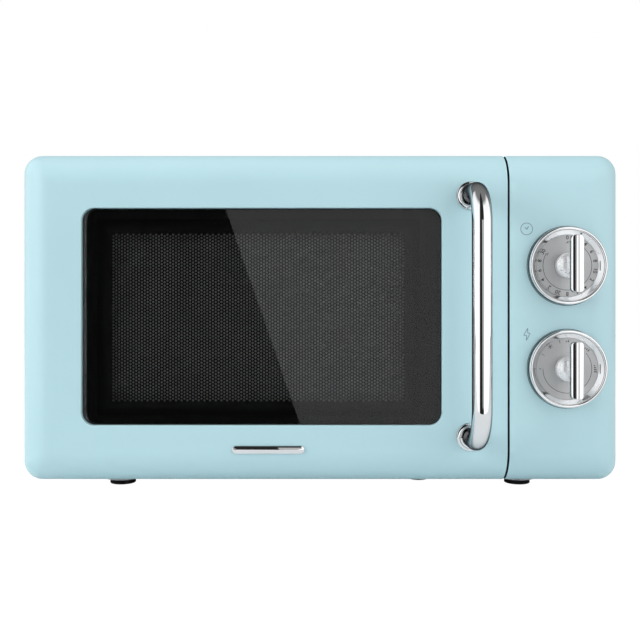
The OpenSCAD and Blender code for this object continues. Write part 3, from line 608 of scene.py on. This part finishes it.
def perforated_screen():
    """The steel screen with its hexagonal field of small holes, each drawn with six sides."""
    bm = bmesh.new()
    seen = {}
    y = SCREEN_LO.y

    def corner(x, z):
        key = (round(x * 1e6), round(z * 1e6))
        for near in ((key[0] + i, key[1] + j) for i in (0, -1, 1) for j in (0, -1, 1)):
            if near in seen:
                return seen[near]
        seen[key] = bm.verts.new((x, y, z))
        return seen[key]

    step = HOLE_PITCH * math.sqrt(3) / 2
    wide = SCREEN_HI.x - SCREEN_LO.x - 2 * SCREEN_RIM
    high = SCREEN_HI.z - SCREEN_LO.z - 2 * SCREEN_RIM
    columns, rows = int(wide / step), int(high / HOLE_PITCH)
    mid_x, mid_z = (SCREEN_LO.x + SCREEN_HI.x) / 2, (SCREEN_LO.z + SCREEN_HI.z) / 2
    cell_r = HOLE_PITCH / math.sqrt(3)
    hexagon = [(math.cos(k * math.pi / 3), math.sin(k * math.pi / 3)) for k in range(6)]
    for i in range(columns):
        x = mid_x + (i - (columns - 1) / 2) * step
        for j in range(rows):
            z = mid_z + (j - (rows - 1) / 2 + (0.25 if i % 2 else -0.25)) * HOLE_PITCH
            outer = [corner(x + cell_r * c, z + cell_r * d) for c, d in hexagon]
            inner = [bm.verts.new((x + HOLE_R * c, y, z + HOLE_R * d)) for c, d in hexagon]
            for k in range(6):
                bm.faces.new([outer[k], outer[(k + 1) % 6], inner[(k + 1) % 6], inner[k]])
    corners = set(seen.values())
    rim = [e for e in bm.edges if e.is_boundary and all(v in corners for v in e.verts)]
    left, right, low, high = SCREEN_LO.x, SCREEN_HI.x, SCREEN_LO.z, SCREEN_HI.z
    box = ring_at(bm, ((left, low), (right, low), (right, high), (left, high)), y)
    rim += [bm.edges.new((box[k], box[(k + 1) % 4])) for k in range(4)]
    bmesh.ops.triangle_fill(bm, edges=rim, use_beauty=True)
    face_out(bm)
    if sum(f.normal.y for f in bm.faces) > 0:
        bmesh.ops.reverse_faces(bm, faces=bm.faces)
    obj = finish_mesh(
        "door_mesh_screen", bm, "black_enamel", "door", ("door_screen",), weld=0,
    )
    wall = obj.modifiers.new("sheet", "SOLIDIFY")
    wall.thickness = SCREEN_T
    wall.offset = -1


perforated_screen()


def window_pane():
    """The front glass, with ground edges."""
    bm = bmesh.new()
    lo, hi = GLASS_LO, GLASS_HI
    r = WINDOW_R + GLASS_LAP
    bevel = 0.5 * MM
    rings = []
    for inset, y in ((bevel, lo.y), (0, lo.y + bevel), (0, hi.y - bevel), (bevel, hi.y)):
        outline = rounded(lo.x + inset, hi.x - inset, lo.z + inset, hi.z - inset, r - inset)
        rings.append(ring_at(bm, outline, y))
    grid_faces(bm, rings, True)
    bm.faces.new(rings[0])
    bm.faces.new(list(reversed(rings[-1])))
    face_out(bm)
    finish_mesh("window_pane", bm, "window_glass", "door", ("door_glass",))


window_pane()


def window_liner():
    """A glossy black liner behind the glass, whose left wall slopes in towards the screen."""
    bm = bmesh.new()
    x0, x1, z0, z1 = WINDOW
    front_y, back_y = GLASS_HI.y + 0.2 * MM, SCREEN_LO.y - 0.3 * MM
    slope, lap = 4.4 * MM, 1 * MM
    outer = ring_at(bm, rounded(x0 - lap, x1 + lap, z0 - lap, z1 + lap, WINDOW_R), front_y)
    inner = ring_at(bm, rounded(x0 + slope, x1 + lap, z0 - lap, z1 + lap, WINDOW_R), back_y)
    grid_faces(bm, [outer, inner], True)
    face_out(bm)
    obj = finish_mesh("window_liner", bm, "gloss_black", "door")
    wall = obj.modifiers.new("wall", "SOLIDIFY")
    wall.thickness = 0.8 * MM
    wall.offset = 1


window_liner()


# ---------------------------------------------------------------- the handle

BAR_LO, BAR_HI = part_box("handle_bar")
BAR_R = (BAR_HI.x - BAR_LO.x) / 2
BAR_X = (BAR_LO.x + BAR_HI.x) / 2
BAR_Y = BAR_LO.y + BAR_R
BAR_BEND = 25 * MM
BEND_STEPS = 20
STRAIGHT_STEPS = 12
BAR_SIDES = 48
FOOT_Z = (BAR_LO.z + BAR_R, BAR_HI.z - BAR_R)


def handle():
    """The round bar, swept through its two bends from foot to foot."""
    path = [(FACE_Y, FOOT_Z[0]), (BAR_Y + BAR_BEND, FOOT_Z[0])]
    path += [
        (BAR_Y + BAR_BEND - BAR_BEND * math.sin(t), FOOT_Z[0] + BAR_BEND - BAR_BEND * math.cos(t))
        for t in (math.pi / 2 * i / BEND_STEPS for i in range(1, BEND_STEPS + 1))
    ]
    first, last = FOOT_Z[0] + BAR_BEND, FOOT_Z[1] - BAR_BEND
    path += [
        (BAR_Y, first + (last - first) * i / STRAIGHT_STEPS) for i in range(1, STRAIGHT_STEPS)
    ]
    path += [
        (BAR_Y + BAR_BEND - BAR_BEND * math.cos(t), FOOT_Z[1] - BAR_BEND + BAR_BEND * math.sin(t))
        for t in (math.pi / 2 * i / BEND_STEPS for i in range(BEND_STEPS + 1))
    ]
    path += [(FACE_Y, FOOT_Z[1])]
    bm = bmesh.new()
    rows = []
    for i, (y, z) in enumerate(path):
        a, b = path[max(i - 1, 0)], path[min(i + 1, len(path) - 1)]
        along = Vector((0, b[0] - a[0], b[1] - a[1])).normalized()
        side = Vector((1, 0, 0))
        up = along.cross(side)
        rows.append([
            bm.verts.new(Vector((BAR_X, y, z)) + (side * math.cos(t) + up * math.sin(t)) * BAR_R)
            for t in (2 * math.pi * k / BAR_SIDES for k in range(BAR_SIDES))
        ])
    grid_faces(bm, rows, True)
    bm.faces.new(rows[0])
    bm.faces.new(list(reversed(rows[-1])))
    face_out(bm)
    finish_mesh("handle_grip", bm, "chrome", "door", ("handle_bar",), angle=50)


def rosettes():
    """The stepped flanges at the handle's feet, with their fixing screws behind the front."""
    bm = bmesh.new()
    profile = [(7.02, 0), (10.5, 0), (10.5, 1.1)]
    profile += arc(9.9, 1.2, 0.6, 0, 80, 5)
    profile += [(8.9, 2.15), (8.55, 2.5), (8.3, 3.6)]
    profile += arc(7.9, 4.1, 0.45, 10, 90, 4) + [(7.02, 4.6)]
    screw = [(0.01, -5.1), (5.2, -5.1), (5.5, -4.7), (5.5, -2.5), (0.01, -2.5)]
    for z in FOOT_Z:
        centre = (BAR_X, FACE_Y, z)
        lathe(bm, [(r * MM, h * MM) for r, h in profile], centre, segments=72)
        lathe(bm, [(r * MM, h * MM) for r, h in screw], centre, segments=24, close=False)
    face_out(bm)
    finish_mesh("handle_flanges", bm, "chrome", "door", ("handle_rosettes",))


handle()
rosettes()


BADGE_R = 2.9 * MM


def badge():
    """The plain pill-shaped badge, softly domed."""
    lo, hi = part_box("door_badge")
    bm = bmesh.new()
    rings = []
    for inset, y in ((0, hi.y), (0, lo.y + 0.5 * MM), (0.15 * MM, lo.y + 0.2 * MM), (0.45 * MM, lo.y)):
        outline = rounded(lo.x + inset, hi.x - inset, lo.z + inset, hi.z - inset, BADGE_R - inset, 8)
        rings.append(ring_at(bm, outline, y))
    grid_faces(bm, rings, True)
    bm.faces.new(rings[-1])
    bm.faces.new(list(reversed(rings[0])))
    face_out(bm)
    finish_mesh("badge", bm, "chrome", "door", ("door_badge",))


badge()


# ---------------------------------------------------------------- the dials

DIALS = {}
for dial in ("timer", "power"):
    ring_lo, ring_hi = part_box(f"{dial}_dial_ring")
    DIALS[dial] = ((ring_lo.x + ring_hi.x) / 2, (ring_lo.z + ring_hi.z) / 2)
RING_R = (ring_hi.x - ring_lo.x) / 2
RING_H = ring_hi.y - ring_lo.y
PLATE_H = 1.7 * MM
PLATE_Y = FACE_Y - PLATE_H
KNOB_LO, KNOB_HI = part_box("timer_knob")
GRIP_W, GRIP_L = 9.5 * MM, KNOB_HI.z - KNOB_LO.z
GRIP_T = 5 * MM
GRIP_CROWN = 8 * MM
CONE_R = 23.2
DOME_R = 9.4
DOME_CURVE = 11.8
SCALE_R = 18.1 * MM
SCALE_INNER_R = 17.0 * MM
NUMERAL_R = 20.8 * MM
SCALE_LINE = 0.32 * MM
INDEX_R = 24 * MM
INDEX_HALF = 3.7 * MM


def dial_ring(dial):
    """The chrome bezel: a rounded rim with a conical inner wall."""
    x, z = DIALS[dial]
    outer, top = RING_R / MM, RING_H / MM
    profile = [(CONE_R, 0.05), (outer, 0), (outer, top - 1.7)]
    profile += arc(outer - 1.3, top - 1.35, 1.3, 0, 180, 14)[1:]
    profile += [(outer - 3.1, top - 1.9), (CONE_R, PLATE_H / MM)]
    bm = bmesh.new()
    lathe(bm, [(r * MM, h * MM) for r, h in profile], (x, FACE_Y, z), segments=128)
    face_out(bm)
    finish_mesh(f"{dial}_bezel", bm, "chrome", "cabinet", (f"{dial}_dial_ring",), angle=30)


def dial_face(dial):
    """The satin plate inside the bezel, with a bored centre."""
    x, z = DIALS[dial]
    radius = CONE_R - 0.1
    profile = [(3.8, 0), (radius, 0), (radius, 1.5), (radius - 0.2, 1.7), (4.2, 1.7), (3.8, 1.4)]
    bm = bmesh.new()
    lathe(bm, [(r * MM, h * MM) for r, h in profile], (x, FACE_Y, z), segments=128)
    face_out(bm)
    finish_mesh(f"{dial}_face", bm, "dial_satin", "cabinet", (f"{dial}_dial_plate",), angle=30)


def knob(dial):
    """A satin dome round the shaft, a stem on it, and a thin bar with a ridge across the stem."""
    x0, z0 = DIALS[dial]
    bm = bmesh.new()
    dome = [(0.01, 2.1), (DOME_R, 2.1)]
    for i in range(13):
        r = DOME_R * (1 - i / 12 * 0.55)
        dome.append((r, math.sqrt(DOME_CURVE**2 - r * r) - 0.4))
    dome.append((0.01, dome[-1][1]))
    lathe(bm, [(r * MM, h * MM) for r, h in dome], (x0, FACE_Y, z0), segments=64, close=False)
    wide, tall, deep = 3 * MM, 7 * MM, (FACE_Y - KNOB_LO.y) - GRIP_T
    outline = rounded(x0 - wide, x0 + wide, z0 - tall, z0 + tall, 1.4 * MM, 6)
    stem = [ring_at(bm, outline, FACE_Y - h) for h in (8 * MM, deep + 0.3 * MM)]
    grid_faces(bm, stem, True)
    bm.faces.new(stem[0])
    bm.faces.new(list(reversed(stem[1])))
    face_out(bm)
    finish_mesh(f"{dial}_hub", bm, "hub_satin", dial, angle=40)

    bm = bmesh.new()
    peak = KNOB_LO.y
    half = GRIP_W / 2
    corner = 3 * MM
    soft = 0.5 * MM

    def crown(x):
        round_front = GRIP_CROWN - math.sqrt(GRIP_CROWN**2 - x * x)
        crease = 0.22 * MM * math.exp(-((x / (0.55 * MM)) ** 2))
        return peak + round_front + crease

    def grip_outline(inset, narrow=1.0):
        w, h = half - inset, GRIP_L / 2 - inset
        return [(x * narrow, z) for x, z in rounded(-w, w, -h, h, corner - inset, 8)]

    rings = []
    base = peak + GRIP_T
    for inset, y in ((0.4 * MM, base), (0, base - 0.4 * MM)):
        rings.append([bm.verts.new((x0 + x, y, z0 + z)) for x, z in grip_outline(inset)])
    for t in (0, 22.5, 45, 67.5, 90):
        inset = soft * (1 - math.cos(math.radians(t)))
        drop = soft * (1 - math.sin(math.radians(t)))
        rings.append([
            bm.verts.new((x0 + x, crown(x) + drop, z0 + z)) for x, z in grip_outline(inset)
        ])
    for narrow in (0.8, 0.6, 0.4, 0.3, 0.22, 0.15, 0.1, 0.05, 0.01):
        rings.append([
            bm.verts.new((x0 + x, crown(x), z0 + z)) for x, z in grip_outline(soft, narrow)
        ])
    grid_faces(bm, rings, True)
    bm.faces.new(rings[0])
    bm.faces.new(list(reversed(rings[-1])))
    face_out(bm)
    finish_mesh(f"{dial}_grip", bm, "chrome", dial, (f"{dial}_knob",), angle=40)


def on_dial(dial, radius, angle):
    """A point (x, z) on a dial at that radius, with the angle clockwise from the top."""
    x, z = DIALS[dial]
    t = math.radians(angle)
    return (x + radius * math.sin(t), z + radius * math.cos(t))


def scale_line(bm, dial, radius, start, end):
    """A printed arc on a dial's plate, between two angles."""
    steps = max(4, int(abs(end - start) / 4))
    angles = [start + (end - start) * i / steps for i in range(steps + 1)]
    strip(bm, [on_dial(dial, radius, angle) for angle in angles], SCALE_LINE, PLATE_Y)


def tick(bm, dial, inner, outer, angle, width):
    strip(bm, [on_dial(dial, inner, angle), on_dial(dial, outer, angle)], width, PLATE_Y)


def timer_scale():
    """Numerals every 20 degrees, in minutes, and an arc with both its ends marked."""
    bm = bmesh.new()
    for i, text in enumerate("0 2 4 6 8 10 2 4 6 8 20 2 4 6 8 30".split()):
        numeral(bm, text, 4.1 * MM, on_dial("timer", NUMERAL_R, 20 * i), 20 * i, PLATE_Y)
    scale_line(bm, "timer", SCALE_R, 0, 300)
    for angle in (0, 300):
        tick(bm, "timer", SCALE_INNER_R, SCALE_R, angle, SCALE_LINE)
        scale_line(bm, "timer", SCALE_INNER_R, angle - 4, angle + 4)
    finish_mesh("timer_scale", bm, "black_print_and_shade", "cabinet")


def power_scale():
    """Five settings: bars that grow with the power, and a snowflake for thawing."""
    bm = bmesh.new()
    scale_line(bm, "power", SCALE_R, 50, 270)
    for angle, bars in ((270, 1), (0, 2), (45, 3), (90, 4)):
        for k in range(bars):
            offset = (k - (bars - 1) / 2) * 4.2
            tick(bm, "power", 19.8 * MM, (20.6 + 0.55 * k) * MM, angle + offset, 0.7 * MM)
    centre = on_dial("power", NUMERAL_R, 322)
    for k in range(3):
        t = math.radians(60 * k + 38)
        dx, dz = 1.9 * MM * math.sin(t), 1.9 * MM * math.cos(t)
        strip(bm, [(centre[0] - dx, centre[1] - dz), (centre[0] + dx, centre[1] + dz)], 0.3 * MM, PLATE_Y)
    for angle in (300, 344):
        tick(bm, "power", 19.6 * MM, 22.2 * MM, angle, 0.3 * MM)
    finish_mesh("power_scale", bm, "black_print_and_shade", "cabinet")


def index_marks_and_bezel_shadows():
    """Each dial's black index, raised on the bezel's cone at three o'clock, and a dark line round the bezel:
    painted shadow where the bezel meets the panel.
    """
    bm = bmesh.new()
    for dial in DIALS:
        x, z = DIALS[dial]
        index = [(x + INDEX_R, z - INDEX_HALF), (x + INDEX_R, z + INDEX_HALF)]
        strip(bm, index, 0.45 * MM, FACE_Y - 2.2 * MM, 0.6 * MM)
        # The dark line just outside each bezel is painted shadow, not print: the bezel's seat shadow on the
        # panel.
        strip(bm, circle(x, z, RING_R + 0.5 * MM, 120), 0.35 * MM, FACE_Y, closed=True)
    finish_mesh("dial_index_and_bezel_shadow", bm, "black_print_and_shade", "cabinet")


def panel_icons():
    """A clock over the timer and a lightning bolt over the power dial."""
    bm = bmesh.new()
    line = 0.45 * MM
    cx, cz = DIALS["timer"][0] - 29.8 * MM, DIALS["timer"][1] + 27.5 * MM
    strip(bm, circle(cx, cz, 4.4 * MM, 40), line, FACE_Y, closed=True)
    hands = [(-1.4, 1.3), (0, -0.3), (1.6, 2.1)]
    strip(bm, [(cx + x * MM, cz + z * MM) for x, z in hands], line, FACE_Y)
    bx, bz = DIALS["power"][0] - 29.5 * MM, DIALS["power"][1] + 25.6 * MM
    bolt = [(0.5, 4.5), (-2.5, -0.7), (-0.3, -0.9), (-0.5, -4.6), (2.3, 0.7), (0.5, 0.9)]
    bolt = [(bx + x * MM, bz + z * MM) for x, z in bolt]
    for a, b in zip(bolt, bolt[1:] + bolt[:1]):
        strip(bm, [a, b], line, FACE_Y)
    finish_mesh("panel_icons", bm, "print_grey", "cabinet")


for dial in DIALS:
    dial_ring(dial)
    dial_face(dial)
    knob(dial)
timer_scale()
power_scale()
index_marks_and_bezel_shadows()
panel_icons()


# ---------------------------------------------------------------- feet and cabinet


def feet():
    """Moulded rubber feet with a groove round each one."""
    lo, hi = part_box("foot_pads")
    radius = 10.3
    top = (hi.z - lo.z) / MM
    profile = [(0.01, 0.6), (7.2, 0.6), (7.6, 0.1), (8.9, 0)]
    profile += arc(9.2, 1.1, 1.1, -90, 0, 5)
    profile += [(radius, 1.6), (radius - 0.35, 2.0), (radius - 0.35, 2.4), (radius, 2.8), (radius, top - 0.4)]
    profile += [(radius - 0.4, top), (0.01, top)]
    bm = bmesh.new()
    for x in (lo.x + radius * MM, hi.x - radius * MM):
        for y in (lo.y + radius * MM, hi.y - radius * MM):
            lathe(bm, [(r * MM, h * MM) for r, h in profile], (x, y, lo.z), "Z", 64, close=False)
    face_out(bm)
    finish_mesh("rubber_feet", bm, "rubber", "cabinet", ("foot_pads",), angle=30)


feet()

for node, mat, bevel in (
    ("outer_wrapper", "painted_blue", 0.25),
    ("base_plate", "satin_sheet", 0.25),
    ("back_panel", "zinc", 0.25),
    ("face_plate", "enamel", 0.3),
    ("cavity_box", "enamel", 0.3),
    ("waveguide_cover", "mica", 0.2),
    ("waveguide", "zinc", 0.2),
    ("magnetron_tube", "copper", 0.4),
    ("magnetron_fins", "aluminium", 0),
    ("magnetron_yoke", "zinc", 0.3),
    ("transformer_core", "core", 0.4),
    ("transformer_windings", "copper", 1.5),
    ("capacitor", "aluminium", 0.4),
    ("capacitor_strap", "zinc", 0.3),
    ("high_voltage_diode", "black_plastic", 0.2),
    ("fan_shroud", "white_plastic", 0.4),
    ("fan_motor", "steel", 0.4),
    ("fan_blade", "white_plastic", 0.3),
    ("cavity_lamp", "lamp_glass", 0),
    ("lamp_holder", "white_plastic", 0.3),
    ("thermal_cutout", "steel", 0.3),
    ("filter_board", "board", 0.2),
    ("turntable_motor", "steel", 0.4),
    ("turntable_coupler", "white_plastic", 0.5),
    ("turntable_glass", "table_glass", 0.6),
    ("roller_ring", "white_plastic", 0.5),
    ("roller_a", "white_plastic", 0.5),
    ("roller_b", "white_plastic", 0.5),
    ("roller_c", "white_plastic", 0.5),
    ("control_bracket", "zinc", 0.3),
    ("timer_unit", "brass", 0.3),
    ("power_switch_unit", "white_plastic", 0.4),
    ("timer_shaft", "steel", 0.3),
    ("power_shaft", "steel", 0.3),
    ("interlock_body", "white_plastic", 0.3),
    ("interlock_lever", "red_plastic", 0.3),
    ("microswitches", "black_plastic", 0.3),
    ("hinge_brackets", "zinc", 0.25),
    ("door_frame", "black_enamel", 0.2),
    ("door_film", "film", 0.1),
    ("choke_cover", "choke_grey", 0.4),
    ("door_hinge_pins", "steel", 0.2),
    ("latch_slider", "white_plastic", 0.4),
    ("cabinet_screws", "steel", 0.3),
    ("cord_gland", "rubber", 0.5),
    ("wall_spacers", "spacer", 0.8),
):
    smooth_cad(node, mat, bevel)


# ---------------------------------------------------------------- stage, light and camera


def stage_plane(name, corners, build):
    """A flat stage piece, with its shader built by a function."""
    mesh = bpy.data.meshes.new(name)
    mesh.from_pydata(corners, [], [tuple(range(len(corners)))])
    obj = bpy.data.objects.new(name, mesh)
    bpy.context.scene.collection.objects.link(obj)
    mat = bpy.data.materials.new(name)
    mat.use_nodes = True
    n = Nodes(mat.node_tree)
    out = n.add("ShaderNodeOutputMaterial")
    mat.node_tree.links.new(build(n), out.inputs["Surface"])
    mesh.materials.append(mat)
    return obj


def floor_shader(n):
    white = n.add("ShaderNodeBsdfDiffuse", {"Color": (0.84, 0.85, 0.86, 1)}).outputs[0]
    glow = n.add("ShaderNodeEmission", {"Color": (1, 1, 1, 1), "Strength": 1.08}).outputs[0]
    seen = n.add("ShaderNodeLightPath").outputs["Is Camera Ray"]
    mixed = n.add("ShaderNodeMixShader", {0: n.math("MULTIPLY", seen, 0.93)})
    n.tree.links.new(white, mixed.inputs[1])
    n.tree.links.new(glow, mixed.inputs[2])
    return mixed.outputs[0]


def card_shader(strength):
    def build(n):
        return n.add("ShaderNodeEmission", {"Color": (1, 1, 1, 1), "Strength": strength}).outputs[0]

    return build


FLOOR_FRONT = -0.45
stage_plane("floor", [(-6, FLOOR_FRONT, 0), (6, FLOOR_FRONT, 0), (6, 7, 0), (-6, 7, 0)], floor_shader)

# The card's slanted left side gives the diagonal reflection in the window
CARD_Y = -2.5
CARD_OUTLINE = ((-0.354, 0.549), (-0.074, -0.26), (0.50, -0.26), (0.50, 0.70), (-0.40, 0.70))
card = stage_plane("reflection_card", [(x, CARD_Y, z) for x, z in CARD_OUTLINE], card_shader(0.47))
card.visible_camera = False


def world():
    """White to the camera. To other rays, a pale wall each side of a dark gap on the camera's side."""
    surround = bpy.data.worlds.new("surround")
    bpy.context.scene.world = surround
    surround.use_nodes = True
    n = Nodes(surround.node_tree)
    direction = n.add("ShaderNodeTexCoord").outputs["Generated"]
    split = n.add("ShaderNodeSeparateXYZ", {0: direction})
    x, y, z = split.outputs
    azimuth = n.math("ARCTAN2", x, n.math("MULTIPLY", y, -1.0))

    def sector(start, end, blur):
        rise = n.spread(azimuth, 0, 1, math.radians(start - blur), math.radians(start))
        return n.math("MULTIPLY", rise, n.spread(azimuth, 1, 0, math.radians(end), math.radians(end + blur)))

    level = n.spread(n.math("ABSOLUTE", z), 1, 0, 0.70, 0.86)
    walls = n.math("MULTIPLY", n.math("ADD", sector(-128, -38, 1.5), sector(10, 100, 2)), level)
    dim = n.spread(z, 0.40, 0.18, -0.3, 0.6)
    rest = n.math("MULTIPLY", dim, n.math("SUBTRACT", 1.0, sector(-38, 9.5, 1.5)))
    light = n.math("ADD", n.math("MULTIPLY", walls, 0.85), n.math("ADD", rest, 0.02))
    soft = n.add("ShaderNodeBackground", {"Color": (1, 1, 1, 1), "Strength": light})
    plain = n.add("ShaderNodeBackground", {"Color": (1, 1, 1, 1), "Strength": 1.0})
    seen = n.add("ShaderNodeLightPath").outputs["Is Camera Ray"]
    mixed = n.add("ShaderNodeMixShader", {0: seen})
    n.tree.links.new(soft.outputs[0], mixed.inputs[1])
    n.tree.links.new(plain.outputs[0], mixed.inputs[2])
    out = n.add("ShaderNodeOutputWorld")
    n.tree.links.new(mixed.outputs[0], out.inputs["Surface"])


world()


def softbox(name, place, target, size, power):
    light = bpy.data.lights.new(name, "AREA")
    light.shape = "RECTANGLE"
    light.size, light.size_y = size
    light.energy = power
    obj = bpy.data.objects.new(name, light)
    obj.location = place
    obj.rotation_euler = (Vector(target) - Vector(place)).to_track_quat("-Z", "Y").to_euler()
    obj.visible_camera = False
    obj.visible_glossy = False
    bpy.context.scene.collection.objects.link(obj)


AIM = (0, 0, 0.13)
softbox("key_left", (-2.4, -1.35, 0.95), AIM, (1.4, 1.6), 30)
softbox("fill_right", (1.9, -1.5, 0.8), AIM, (1.2, 1.6), 7)
softbox("top_light", (-0.2, -0.4, 1.9), AIM, (1.8, 1.4), 13)
softbox("back_light", (0.6, 2.4, 1.2), AIM, (1.8, 1.2), 14)

CAMERA_DISTANCE = 0.735
CAMERA_HEIGHT = 0.1331
CAMERA_LENS = 44.13
SENSOR_WIDTH = 36
camera = bpy.data.cameras.new("camera")
camera.sensor_width = SENSOR_WIDTH
camera.lens = CAMERA_LENS
camera_obj = bpy.data.objects.new("camera", camera)
camera_obj.location = (0, -CAMERA_DISTANCE, CAMERA_HEIGHT)
camera_obj.rotation_euler = (math.radians(90), 0, 0)
bpy.context.scene.collection.objects.link(camera_obj)
bpy.context.scene.camera = camera_obj
bpy.context.scene.view_settings.view_transform = "Standard"
